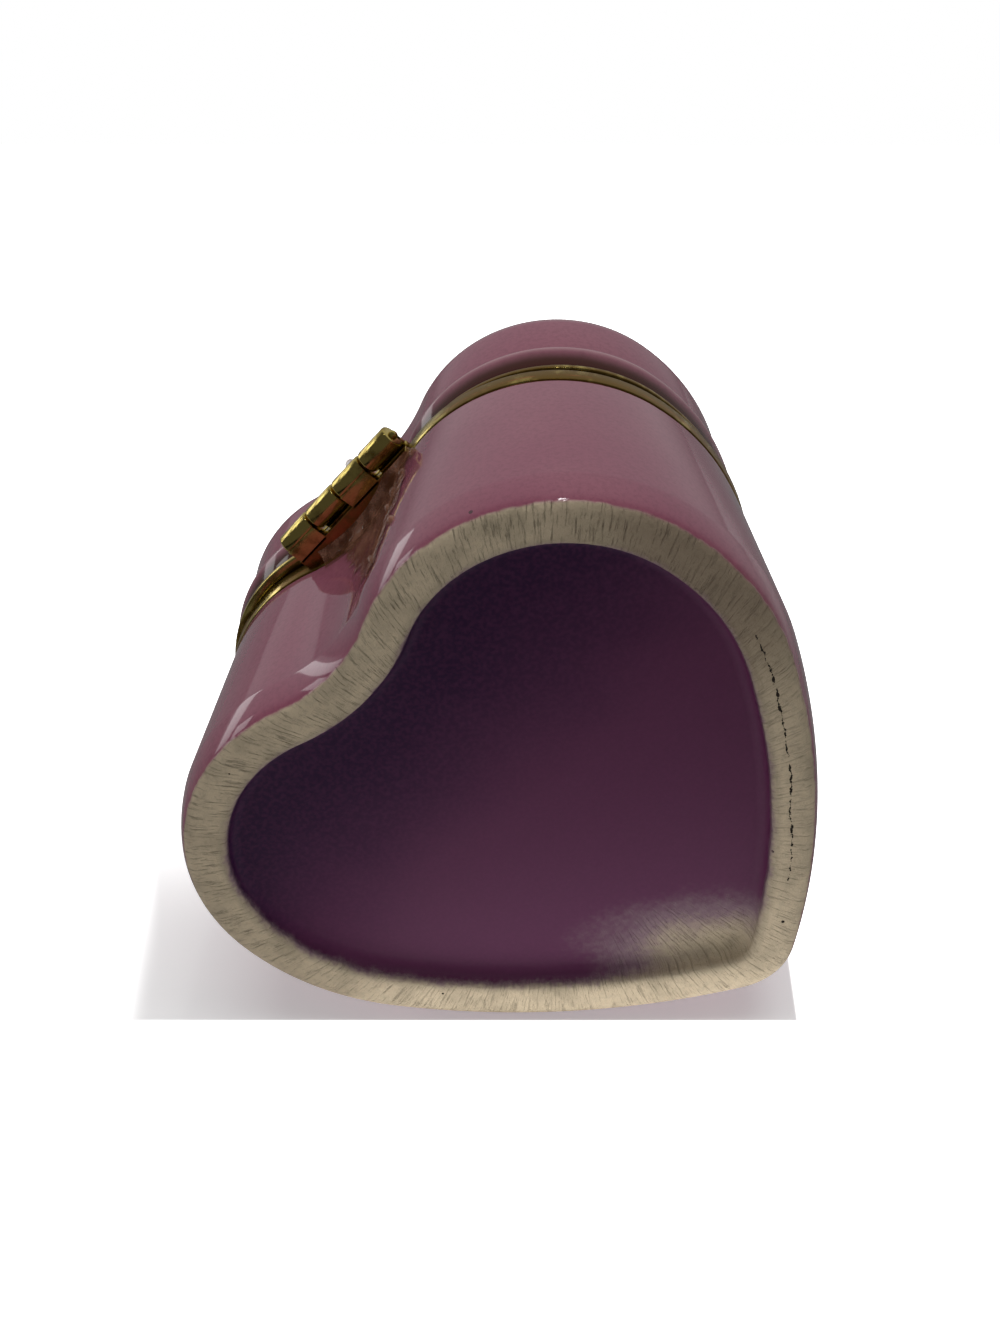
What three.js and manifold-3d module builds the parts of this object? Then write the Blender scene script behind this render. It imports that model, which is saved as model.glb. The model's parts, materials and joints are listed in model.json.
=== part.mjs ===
// A heart-shaped ceramic trinket box with a brass rim and a hinged, domed lid.
// Millimetres, Z up. The origin is the middle of the box's footprint at the level of its foot,
// the heart's tip points along -Y, and the hinge lies along X behind the cleft at +Y.

import * as THREE from 'three';
import { mergeVertices } from 'three/addons/utils/BufferGeometryUtils.js';
import Module from 'manifold-3d';

const wasm = await Module();
wasm.setup();

// Heart outline at the foot: an arc each for the cleft, lobe, shoulder, flank and tip.
const HEART_WIDTH = 52;
const HEART_LENGTH = 48;
const LOBE_RADIUS = 15.28;
const CLEFT_RADIUS = 14.1;
const SHOULDER_RADIUS = 20.6;
const SHOULDER_ANGLE = THREE.MathUtils.degToRad(7.4);
const FLANK_RADIUS = 61.6;
const TIP_RADIUS = 5.2;
const SHARPEST_TIP = 0.5;

// Ceramic box: foot, recessed underside, belly and mouth.
const BODY_HEIGHT = 21.8;
const BODY_WALL = 2.9;
const BODY_FLOOR = 2.9;
const BELLY_SWELL = 0.7;
const BELLY_HEIGHT = 3.7;
const MOUTH_TAPER = 1.3;
const MOUTH_EDGE_RADIUS = 0.35;
const FOOT_WIDTH = 3.2;
const FOOT_EDGE_RADIUS = 0.5;
const FOOT_RECESS = 1.6;
const CAVITY_FILLET = 2;

// Brass rims, plates and hinge.
const BODY_RIM_HEIGHT = 1.65;
const LID_RIM_HEIGHT = 0.6;
const RIM_WIDTH = 1.9;
const SEAM = 0.3;
const BODY_PLATE_THICKNESS = 1.0;
const HINGE_LENGTH = 14;
const HINGE_SHIFT = -1.2;
const HINGE_STANDOFF = 1.3;
const KNUCKLE_COUNT = 4;
const KNUCKLE_RADIUS = 1.05;
const KNUCKLE_GAP = 0.2;
const SWING_CLEARANCE = 0.25;
const PIN_RADIUS = 0.4;
const PIN_CLEARANCE = 0.15;
const PIN_OVERHANG = 0.3;

// Ceramic lid: rolled bead, crease, upright wall, shoulder and domed top.
const LID_WALL = 2.3;
const LID_ROOF = 2.6;
const LID_WALL_HEIGHT = 9.1;
const LID_INSET = 2.75;
const BEAD_HEIGHT = 3;
const BEAD_SWELL = 0.7;
const CREASE_DEPTH = 0.15;
const CREASE_HEIGHT = 0.5;
const LID_SHOULDER_RADIUS = 3;
const DOME_RISE = 1.3;

// The photographed lid sits a little askew on its hinge, turned about the heart's middle and set back.
const LID_TURN = THREE.MathUtils.degToRad(3);
const LID_SETBACK = 0.9;

// How finely each arc is divided.
const CLEFT_STEPS = 4;
const LOBE_STEPS = 16;
const SHOULDER_STEPS = 5;
const FLANK_STEPS = 7;
const TIP_STEPS = 4;
const CORNER_STEPS = 2;
const SWELL_STEPS = 4;
const BEAD_STEPS = 5;
const DOME_STEPS = 3;
const BARREL_SIDES = 24;

// Levels and places that follow from the sizes above.
const bodyRimTop = BODY_HEIGHT + BODY_RIM_HEIGHT;
const lidRimBase = bodyRimTop + SEAM;
const lidBase = lidRimBase + LID_RIM_HEIGHT;
const cavityFloor = FOOT_RECESS + BODY_FLOOR;
const hingeAxis = {
  y: LOBE_RADIUS - MOUTH_TAPER + HINGE_STANDOFF,
  z: (bodyRimTop + lidRimBase) / 2,
};
const plateEdge = hingeAxis.y - KNUCKLE_RADIUS - SWING_CLEARANCE;
const hingeStart = HINGE_SHIFT - HINGE_LENGTH / 2;
const boxSeat = { turn: 0, setback: 0 };
const lidSeat = { turn: LID_TURN, setback: LID_SETBACK };

function glazeMaterial() {
  return new THREE.MeshStandardMaterial({ color: 0x9a7080, roughness: 0.12, metalness: 0 });
}

function brassMaterial() {
  return new THREE.MeshStandardMaterial({ color: 0xa8883c, roughness: 0.25, metalness: 1 });
}

// The centres of the outline's arcs on the +X side. Each arc is tangent to the next.
function heartCentres() {
  const lobe = new THREE.Vector2(HEART_WIDTH / 2 - LOBE_RADIUS, 0);
  const cleft = new THREE.Vector2(0, Math.sqrt((LOBE_RADIUS + CLEFT_RADIUS) ** 2 - lobe.x ** 2));
  const towards = new THREE.Vector2(Math.cos(SHOULDER_ANGLE), Math.sin(SHOULDER_ANGLE));
  const shoulder = lobe.clone().addScaledVector(towards, LOBE_RADIUS - SHOULDER_RADIUS);
  const tip = new THREE.Vector2(0, LOBE_RADIUS - HEART_LENGTH + TIP_RADIUS);
  const fromShoulder = FLANK_RADIUS - SHOULDER_RADIUS;
  const fromTip = FLANK_RADIUS - TIP_RADIUS;
  const line = shoulder.clone().sub(tip);
  const along = (fromTip ** 2 - fromShoulder ** 2 + line.lengthSq()) / (2 * line.length());
  const aside = Math.sqrt(fromTip ** 2 - along ** 2);
  const unit = line.clone().normalize();
  const flank = tip.clone().addScaledVector(unit, along);
  flank.addScaledVector(new THREE.Vector2(-unit.y, unit.x), aside);
  return { lobe, cleft, shoulder, flank, tip };
}

// The points of an arc without its last one, where the next arc begins.
function arcPoints(centre, radius, from, to, steps) {
  return Array.from({ length: steps }, (_, i) => {
    const angle = from + ((to - from) * i) / steps;
    return new THREE.Vector2(centre.x + radius * Math.cos(angle), centre.y + radius * Math.sin(angle));
  });
}

function direction(from, to) {
  return Math.atan2(to.y - from.y, to.x - from.x);
}

// The heart moved outwards by an offset, or inwards by a negative one, anticlockwise from the tip.
function heartOutline(offset) {
  const { lobe, cleft, shoulder, flank } = heartCentres();
  const flankRadius = FLANK_RADIUS + offset;
  const tipRadius = Math.max(TIP_RADIUS + offset, SHARPEST_TIP);
  const tip = new THREE.Vector2(0, flank.y - Math.sqrt((flankRadius - tipRadius) ** 2 - flank.x ** 2));
  const down = -Math.PI / 2;
  const toTip = direction(flank, tip);
  const toShoulder = direction(flank, shoulder);
  const half = [
    ...arcPoints(tip, tipRadius, down, toTip, TIP_STEPS),
    ...arcPoints(flank, flankRadius, toTip, toShoulder, FLANK_STEPS),
    ...arcPoints(shoulder, SHOULDER_RADIUS + offset, toShoulder, SHOULDER_ANGLE, SHOULDER_STEPS),
    ...arcPoints(lobe, LOBE_RADIUS + offset, SHOULDER_ANGLE, direction(lobe, cleft), LOBE_STEPS),
    ...arcPoints(cleft, CLEFT_RADIUS - offset, direction(cleft, lobe), down, CLEFT_STEPS),
  ];
  const cleftBottom = new THREE.Vector2(0, cleft.y - CLEFT_RADIUS + offset);
  const mirrored = half.slice(1).reverse().map((point) => new THREE.Vector2(-point.x, point.y));
  return [...half, cleftBottom, ...mirrored];
}

// A heart-shaped ring of points at a level. Each profile point holds an offset and a height.
function ring({ offset, z, share = 1 }) {
  const middle = heartMiddle();
  return heartOutline(offset).map((point) => {
    const y = middle + share * (point.y - middle);
    return new THREE.Vector3(share * point.x, y, z);
  });
}

function heartMiddle() {
  return heartCentres().tip.y / 2;
}

// Turns a heart-shaped geometry about the heart's middle and moves it towards the hinge.
function seated(geometry, { turn, setback }) {
  const middle = heartMiddle();
  geometry.translate(0, -middle, 0);
  geometry.rotateZ(turn);
  return geometry.translate(0, middle + setback, 0);
}

// A closed skin through rings of points, from a point on the axis to another point on the axis.
function loft(profile, startZ, endZ) {
  const rings = profile.map(ring);
  const count = rings[0].length;
  const middle = heartMiddle();
  const start = new THREE.Vector3(0, middle, startZ);
  const end = new THREE.Vector3(0, middle, endZ);
  const vertices = [start, ...rings.flat(), end];
  const at = (level, i) => 1 + level * count + (i % count);
  const last = rings.length - 1;
  const index = [];
  for (let i = 0; i < count; i += 1) {
    index.push(0, at(0, i + 1), at(0, i));
    for (let level = 0; level < last; level += 1) {
      index.push(at(level, i), at(level, i + 1), at(level + 1, i));
      index.push(at(level, i + 1), at(level + 1, i + 1), at(level + 1, i));
    }
    index.push(vertices.length - 1, at(last, i), at(last, i + 1));
  }
  const geometry = new THREE.BufferGeometry().setFromPoints(vertices);
  geometry.setIndex(index);
  geometry.computeVertexNormals();
  return geometry;
}

// A rounded corner of a profile: a quarter or other part of a circle or ellipse.
function corner(offset, z, offsetRadius, zRadius, fromDegrees, toDegrees, steps = CORNER_STEPS) {
  return Array.from({ length: steps + 1 }, (_, i) => {
    const angle = THREE.MathUtils.degToRad(fromDegrees + ((toDegrees - fromDegrees) * i) / steps);
    return { offset: offset + offsetRadius * Math.cos(angle), z: z + zRadius * Math.sin(angle) };
  });
}

// The box's outer offset from the foot outline at a height above the belly.
function wallOffset(z) {
  const share = (z - BELLY_HEIGHT) / (BODY_HEIGHT - BELLY_HEIGHT);
  return BELLY_SWELL - share * (BELLY_SWELL + MOUTH_TAPER);
}

// From the middle of the underside, round the foot, up the wall, over the mouth and down inside.
function bodyGeometry() {
  const footEdge = FOOT_EDGE_RADIUS;
  const recessFillet = FOOT_RECESS - footEdge;
  const edge = MOUTH_EDGE_RADIUS;
  const innerMouth = -MOUTH_TAPER - BODY_WALL;
  const fillet = CAVITY_FILLET;
  const filletTop = cavityFloor + fillet;
  const filletEdge = wallOffset(filletTop) - BODY_WALL - fillet;
  const profile = [
    ...corner(-FOOT_WIDTH - recessFillet, footEdge, recessFillet, recessFillet, 90, 0),
    ...corner(-FOOT_WIDTH + footEdge, footEdge, footEdge, footEdge, 225, 270, 1),
    { offset: -footEdge, z: 0 },
    ...corner(0, BELLY_HEIGHT, BELLY_SWELL, BELLY_HEIGHT - footEdge / 2, -80, 0, SWELL_STEPS),
    ...corner(-MOUTH_TAPER - edge, BODY_HEIGHT - edge, edge, edge, 0, 90),
    ...corner(innerMouth + edge, BODY_HEIGHT - edge, edge, edge, 90, 180),
    ...corner(filletEdge, filletTop, fillet, fillet, 0, -90),
  ];
  return loft(profile, FOOT_RECESS, cavityFloor);
}

// Rings that draw in towards the middle of the lid while they rise, outermost first.
function domeRings(offset, z) {
  return Array.from({ length: DOME_STEPS }, (_, i) => {
    const share = 1 - (i + 1) / (DOME_STEPS + 1);
    return { offset, z: z + DOME_RISE * (1 - share ** 2), share };
  });
}

// From the middle of the ceiling, down inside, under the edge, up over the bead and across the dome.
function lidGeometry() {
  const beadMiddle = lidBase + BEAD_HEIGHT / 2;
  const beadTop = lidBase + BEAD_HEIGHT;
  const wallTop = lidBase + LID_WALL_HEIGHT;
  const shoulder = LID_SHOULDER_RADIUS;
  const innerShoulder = Math.max(shoulder - LID_WALL, MOUTH_EDGE_RADIUS);
  const innerEdge = -LID_INSET - LID_WALL - innerShoulder;
  const crown = wallTop + shoulder;
  const ceiling = crown - LID_ROOF;
  const profile = [
    ...domeRings(innerEdge, ceiling).reverse(),
    ...corner(innerEdge, ceiling - innerShoulder, innerShoulder, innerShoulder, 90, 0),
    { offset: -LID_INSET - LID_WALL, z: lidBase },
    ...corner(-LID_INSET, beadMiddle, BEAD_SWELL, BEAD_HEIGHT / 2, -90, 60, BEAD_STEPS),
    { offset: -LID_INSET - CREASE_DEPTH, z: beadTop + CREASE_HEIGHT / 2 },
    { offset: -LID_INSET - CREASE_DEPTH / 2, z: beadTop + CREASE_HEIGHT },
    ...corner(-LID_INSET - shoulder, wallTop, shoulder, shoulder, 0, 90, SWELL_STEPS),
    ...domeRings(-LID_INSET - shoulder, crown),
  ];
  return seated(loft(profile, ceiling + DOME_RISE, crown + DOME_RISE), lidSeat);
}

function toSolid(geometry) {
  const bare = geometry.clone();
  bare.deleteAttribute('normal');
  bare.deleteAttribute('uv');
  const merged = mergeVertices(bare);
  return new wasm.Manifold(new wasm.Mesh({
    numProp: 3,
    vertProperties: new Float32Array(merged.attributes.position.array),
    triVerts: new Uint32Array(merged.index.array),
  }));
}

function fromSolid(solid) {
  const { vertProperties, triVerts } = solid.getMesh();
  const geometry = new THREE.BufferGeometry();
  geometry.setAttribute('position', new THREE.BufferAttribute(vertProperties, 3));
  geometry.setIndex(new THREE.BufferAttribute(triVerts, 1));
  geometry.computeVertexNormals();
  return geometry;
}

function heartPrism(offset, z, height, seat) {
  const shape = new THREE.Shape(heartOutline(offset));
  const geometry = new THREE.ExtrudeGeometry(shape, { depth: height, bevelEnabled: false });
  return toSolid(seated(geometry.translate(0, 0, z), seat));
}

// A box between two corners.
function block(low, high) {
  const size = high.clone().sub(low);
  const middle = low.clone().add(high).divideScalar(2);
  return toSolid(new THREE.BoxGeometry(size.x, size.y, size.z).translate(middle.x, middle.y, middle.z));
}

// A round bar along X on the hinge's axis.
function hingeBar(radius, startX, length) {
  const bar = new THREE.CylinderGeometry(radius, radius, length, BARREL_SIDES);
  bar.rotateZ(Math.PI / 2);
  return bar.translate(startX + length / 2, hingeAxis.y, hingeAxis.z);
}

// A flat heart-shaped ring with the plate across the cleft and every second knuckle of the hinge.
function rimGeometry({ inset, base, height, plateLow, plateHigh, firstKnuckle, seat }) {
  const overrun = height;
  const plate = block(
    new THREE.Vector3(hingeStart, heartMiddle(), plateLow),
    new THREE.Vector3(hingeStart + HINGE_LENGTH, plateEdge, plateHigh),
  );
  const opening = heartPrism(-inset - RIM_WIDTH, base - overrun, height + 2 * overrun, seat);
  let rim = heartPrism(-inset, base, height, seat).add(plate).subtract(opening);
  const pitch = HINGE_LENGTH / KNUCKLE_COUNT;
  for (let i = firstKnuckle; i < KNUCKLE_COUNT; i += 2) {
    const start = hingeStart + i * pitch + KNUCKLE_GAP / 2;
    const length = pitch - KNUCKLE_GAP;
    const leaf = block(
      new THREE.Vector3(start, plateEdge - SWING_CLEARANCE, plateLow),
      new THREE.Vector3(start + length, hingeAxis.y, plateHigh),
    );
    rim = rim.add(leaf).add(toSolid(hingeBar(KNUCKLE_RADIUS, start, length)));
  }
  const bore = pinBar(PIN_RADIUS + PIN_CLEARANCE);
  return fromSolid(rim.subtract(toSolid(bore)));
}

// A bar as long as the pin, which stands out at both ends of the hinge.
function pinBar(radius) {
  return hingeBar(radius, hingeStart - PIN_OVERHANG, HINGE_LENGTH + 2 * PIN_OVERHANG);
}

function bodyRimGeometry() {
  return rimGeometry({
    inset: MOUTH_TAPER,
    base: BODY_HEIGHT,
    height: BODY_RIM_HEIGHT,
    plateLow: bodyRimTop - BODY_PLATE_THICKNESS,
    plateHigh: bodyRimTop,
    firstKnuckle: 1,
    seat: boxSeat,
  });
}

// The lid's flange ends flush with the bead above it.
function lidRimGeometry() {
  return rimGeometry({
    inset: LID_INSET - BEAD_SWELL,
    base: lidRimBase,
    height: LID_RIM_HEIGHT,
    plateLow: lidRimBase,
    plateHigh: lidBase,
    firstKnuckle: 0,
    seat: lidSeat,
  });
}

function namedMesh(name, geometry, material) {
  const mesh = new THREE.Mesh(geometry, material);
  mesh.name = name;
  return mesh;
}

// The depth of the whole box runs from the belly at the tip to the back of the hinge's barrel.
const frontY = LOBE_RADIUS - HEART_LENGTH - BELLY_SWELL;
const backY = hingeAxis.y + KNUCKLE_RADIUS;

const trinketBox = new THREE.Group();
trinketBox.add(
  namedMesh('box_body', bodyGeometry(), glazeMaterial()),
  namedMesh('body_rim', bodyRimGeometry(), brassMaterial()),
  namedMesh('hinge_pin', pinBar(PIN_RADIUS), brassMaterial()),
  namedMesh('lid_rim', lidRimGeometry(), brassMaterial()),
  namedMesh('lid_shell', lidGeometry(), glazeMaterial()),
);
trinketBox.position.y = -(frontY + backY) / 2;

export default trinketBox;
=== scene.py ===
"""A heart-shaped ceramic trinket box with a brass hinge, dressed, lit and seen from below.

The box stands upright in its own frame, and the camera looks at its underside, as if the box lay on one flank
on a pale table. Lengths are in metres; a name that ends in _mm holds millimetres.
"""

import json
import logging
import math
from dataclasses import dataclass, field
from enum import Enum
from itertools import pairwise

import bmesh
import bpy
from mathutils import Matrix, Vector

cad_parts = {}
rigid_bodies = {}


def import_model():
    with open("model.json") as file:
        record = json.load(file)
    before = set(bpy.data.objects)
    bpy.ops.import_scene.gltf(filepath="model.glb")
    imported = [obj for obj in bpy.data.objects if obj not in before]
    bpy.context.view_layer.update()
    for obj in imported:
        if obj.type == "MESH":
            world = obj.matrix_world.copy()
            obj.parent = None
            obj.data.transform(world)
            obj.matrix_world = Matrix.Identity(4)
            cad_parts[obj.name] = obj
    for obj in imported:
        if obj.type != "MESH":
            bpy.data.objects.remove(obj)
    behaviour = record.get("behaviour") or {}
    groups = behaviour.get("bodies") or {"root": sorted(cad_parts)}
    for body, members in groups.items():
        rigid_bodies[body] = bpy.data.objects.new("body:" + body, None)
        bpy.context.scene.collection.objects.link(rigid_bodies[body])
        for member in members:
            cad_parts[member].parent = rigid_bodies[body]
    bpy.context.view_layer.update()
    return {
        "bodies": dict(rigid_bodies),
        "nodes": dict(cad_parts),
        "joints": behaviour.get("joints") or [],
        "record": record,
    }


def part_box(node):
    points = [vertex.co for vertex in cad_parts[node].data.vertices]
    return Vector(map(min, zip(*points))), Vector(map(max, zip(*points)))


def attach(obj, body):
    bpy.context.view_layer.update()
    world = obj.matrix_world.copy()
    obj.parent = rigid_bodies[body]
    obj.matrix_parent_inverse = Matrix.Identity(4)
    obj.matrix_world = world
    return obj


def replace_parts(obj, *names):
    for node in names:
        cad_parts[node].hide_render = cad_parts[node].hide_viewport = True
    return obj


MM = 0.001
MERGE = 0.0005 * MM
ProfilePoint = tuple[float, float]
log = logging.getLogger("trinket_box")


class Side(Enum):
    """The two halves that the hinge joins."""

    BOX = "box"
    LID = "lid"


def corner(
    offset: float, z: float, reach: float, rise: float, start: float, end: float, steps: int = 6
) -> list[ProfilePoint]:
    """Gives the points of a rounded corner of a profile.

    Args:
        offset: Distance of the corner's centre from the heart's outline, outwards.
        z: Height of the corner's centre.
        reach: Radius along the offset.
        rise: Radius along the height.
        start: First angle, in degrees.
        end: Last angle, in degrees.
        steps: How many stretches the corner is divided into.

    Returns:
        Profile points from the first angle to the last.
    """
    angles = [math.radians(start + (end - start) * i / steps) for i in range(steps + 1)]
    return [(offset + reach * math.cos(angle), z + rise * math.sin(angle)) for angle in angles]


def shaded(colour: tuple, factor: float) -> tuple:
    """Gives a colour multiplied by a factor, opaque."""
    return (*(factor * part for part in colour[:3]), 1.0)


def clear_beyond(bm: bmesh.types.BMesh, place: Vector, away: Vector) -> None:
    """Cuts away what lies beyond a plane, given by a place on it and the direction away from what is kept."""
    geom = bm.verts[:] + bm.edges[:] + bm.faces[:]
    bmesh.ops.bisect_plane(bm, geom=geom, plane_co=place, plane_no=away, clear_outer=True)


@dataclass(frozen=True)
class Arc:
    """One arc of the heart's outline, run from the tip towards the cleft."""

    centre: Vector
    start: float
    end: float
    steps: int


@dataclass
class HeartOutline:
    """The heart at the foot's outer edge: tangent arcs for tip, flank, shoulder, lobe and cleft."""

    lobe_level: float
    width: float = 52 * MM
    length: float = 48 * MM
    lobe_radius: float = 15.28 * MM
    cleft_radius: float = 14.1 * MM
    shoulder_radius: float = 20.6 * MM
    shoulder_angle: float = math.radians(7.4)
    flank_radius: float = 61.6 * MM
    tip_radius: float = 5.2 * MM
    steps: dict[str, int] = field(
        default_factory=lambda: {"tip": 14, "flank": 30, "shoulder": 14, "lobe": 44, "cleft": 12}
    )

    def arcs(self) -> list[Arc]:
        """Works out the arcs of the right half.

        Returns:
            The arcs in order, from the tip to the cleft.
        """
        lobe = Vector((self.width / 2 - self.lobe_radius, 0, 0))
        reach = self.lobe_radius + self.cleft_radius
        cleft = Vector((0, math.sqrt(reach**2 - lobe.x**2), 0))
        towards = Vector((math.cos(self.shoulder_angle), math.sin(self.shoulder_angle), 0))
        shoulder = lobe + towards * (self.lobe_radius - self.shoulder_radius)
        tip = Vector((0, self.lobe_radius - self.length + self.tip_radius, 0))
        from_shoulder = self.flank_radius - self.shoulder_radius
        from_tip = self.flank_radius - self.tip_radius
        line = shoulder - tip
        along = (from_tip**2 - from_shoulder**2 + line.length_squared) / (2 * line.length)
        aside = math.sqrt(from_tip**2 - along**2)
        unit = line.normalized()
        flank = tip + unit * along + Vector((-unit.y, unit.x, 0)) * aside
        down = -math.pi / 2
        turns = {
            "tip": (tip, down, self.heading(flank, tip)),
            "flank": (flank, self.heading(flank, tip), self.heading(flank, shoulder)),
            "shoulder": (shoulder, self.heading(flank, shoulder), self.shoulder_angle),
            "lobe": (lobe, self.shoulder_angle, self.heading(lobe, cleft)),
            "cleft": (cleft, self.heading(cleft, lobe), down),
        }
        level = Vector((0, self.lobe_level, 0))
        return [
            Arc(centre + level, start, end, self.steps[name]) for name, (centre, start, end) in turns.items()
        ]

    @staticmethod
    def heading(start: Vector, end: Vector) -> float:
        """Gives the direction from one point to another, in radians."""
        return math.atan2(end.y - start.y, end.x - start.x)

    @property
    def middle(self) -> Vector:
        """Gives a point inside the heart from which the whole outline can be seen."""
        tip_centre = self.lobe_radius - self.length + self.tip_radius
        return Vector((0, self.lobe_level + tip_centre / 2, 0))

    @property
    def tip_y(self) -> float:
        """Gives the place of the heart's tip along Y."""
        return self.lobe_level + self.lobe_radius - self.length

    def sweep(self, bm: bmesh.types.BMesh, profile: list[ProfilePoint], closed: bool = False) -> None:
        """Spins a profile round the arcs of the right half and mirrors it to the left.

        Args:
            bm: The mesh that receives the sweep.
            profile: Points of offset and height, in order.
            closed: Whether the last point joins the first.
        """
        run = bm.verts.layers.float.get("run_mm") or bm.verts.layers.float.new("run_mm")
        verts = []
        travelled = 0.0
        before = None
        for offset, z in profile:
            vert = bm.verts.new((0, self.tip_y - offset, z))
            travelled += (vert.co - before).length if before is not None else 0.0
            vert[run] = travelled / MM
            before = vert.co.copy()
            verts.append(vert)
        edges = [bm.edges.new(pair) for pair in pairwise(verts)]
        if closed:
            edges.append(bm.edges.new((verts[-1], verts[0])))
        geom = verts + edges
        for arc in self.arcs():
            turned = bmesh.ops.spin(
                bm, geom=geom, cent=arc.centre, axis=(0, 0, 1), angle=arc.end - arc.start, steps=arc.steps
            )
            geom = turned["geom_last"]
        bmesh.ops.mirror(bm, geom=bm.verts[:] + bm.edges[:] + bm.faces[:], merge_dist=MERGE, axis="X")
        bmesh.ops.remove_doubles(bm, verts=bm.verts, dist=MERGE)

    def draw_in(self, bm: bmesh.types.BMesh, z: float, rise: float, rings: int = 8) -> None:
        """Closes the open edge at a height with rings that draw in to the middle.

        Args:
            bm: The mesh with the open edge.
            z: Height of the open edge.
            rise: How much higher the middle lies than the edge.
            rings: How many rings the cap has.
        """
        edges = [
            edge for edge in bm.edges if edge.is_boundary and all(abs(v.co.z - z) < MERGE for v in edge.verts)
        ]
        share = 1.0
        for step in range(1, rings):
            made = bmesh.ops.extrude_edge_only(bm, edges=edges)["geom"]
            verts = [item for item in made if isinstance(item, bmesh.types.BMVert)]
            edges = [item for item in made if isinstance(item, bmesh.types.BMEdge) and item.is_boundary]
            next_share = 1 - step / rings
            centre = Matrix.Translation(-self.middle)
            bmesh.ops.scale(bm, vec=(next_share / share, next_share / share, 1), space=centre, verts=verts)
            bmesh.ops.translate(bm, vec=(0, 0, rise * (share**2 - next_share**2)), verts=verts)
            share = next_share
        made = bmesh.ops.extrude_edge_only(bm, edges=edges)["geom"]
        verts = [item for item in made if isinstance(item, bmesh.types.BMVert)]
        bmesh.ops.pointmerge(bm, verts=verts, merge_co=self.middle + Vector((0, 0, z + rise)))


@dataclass(frozen=True)
class Seat:
    """How a part of the lid sits on the box: turned about the heart's middle and set back to the hinge."""

    turn: float = 0.0
    setback: float = 0.0

    def settle(self, bm: bmesh.types.BMesh, outline: HeartOutline) -> None:
        """Turns and moves a whole mesh to this seat."""
        about = Matrix.Translation(-outline.middle)
        bmesh.ops.rotate(bm, verts=bm.verts, matrix=Matrix.Rotation(self.turn, 3, "Z"), space=about)
        bmesh.ops.translate(bm, verts=bm.verts, vec=(0, self.setback, 0))


BOX_SEAT = Seat()
LID_SEAT = Seat(turn=math.radians(3), setback=0.9 * MM)


def place_piece(
    name: str,
    bm: bmesh.types.BMesh,
    finish: bpy.types.Material,
    side: Side,
    sharp_angle: float = 0.6,
) -> bpy.types.Object:
    """Turns a finished mesh into a piece that rides on its half of the box.

    Args:
        name: The piece's name.
        bm: Its mesh, which is freed.
        finish: Its material.
        side: The half that it moves with.
        sharp_angle: Edges that turn more than this, in radians, stay crisp.

    Returns:
        The new object.
    """
    bmesh.ops.recalc_face_normals(bm, faces=bm.faces)
    for face in bm.faces:
        face.smooth = True
    for edge in bm.edges:
        edge.smooth = edge.calc_face_angle(0.0) < sharp_angle
    mesh = bpy.data.meshes.new(name)
    bm.to_mesh(mesh)
    bm.free()
    piece = bpy.data.objects.new(name, mesh)
    bpy.context.scene.collection.objects.link(piece)
    mesh.materials.append(finish)
    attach(piece, side.value)
    log.info("%s: %d faces on the %s", name, len(mesh.polygons), side.value)
    return piece


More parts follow.
